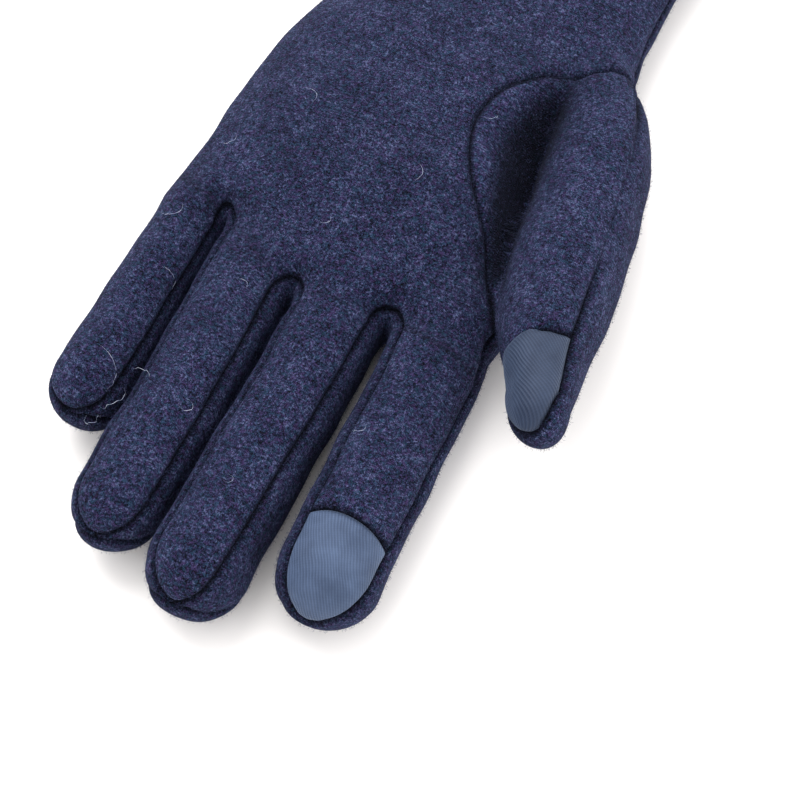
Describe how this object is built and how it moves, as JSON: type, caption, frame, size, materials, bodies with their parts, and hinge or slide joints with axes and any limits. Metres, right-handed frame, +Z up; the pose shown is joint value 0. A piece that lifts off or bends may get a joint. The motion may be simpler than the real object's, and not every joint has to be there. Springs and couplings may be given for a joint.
{
  "type": "fleece touch screen glove",
  "caption": "Soft brushed fleece glove for the left hand with smooth touch patches on the index finger and thumb, lying palm up.",
  "frame": {"origin": "middle of the glove's outline on the surface it lies on", "axes": "+Z up through the palm, which faces up; the fingers point along -Y and the cuff opens along +Y; +X points to the thumb side"},
  "size_m": [0.1065, 0.2342, 0.035],
  "materials": {
    "fleece": "brushed fleece jersey, matt",
    "touch_patch": "smooth fine twill, slight sheen"
  },
  "bodies": {
    "root": {"palm_panel": "fleece", "back_panel": "fleece", "fourchette_little_ring": "fleece", "fourchette_ring_middle": "fleece", "fourchette_middle_index": "fleece", "thumb_front": "fleece", "thumb_back": "fleece", "index_touch_patch": "touch_patch", "thumb_touch_patch": "touch_patch"}
  },
  "joints": []
}
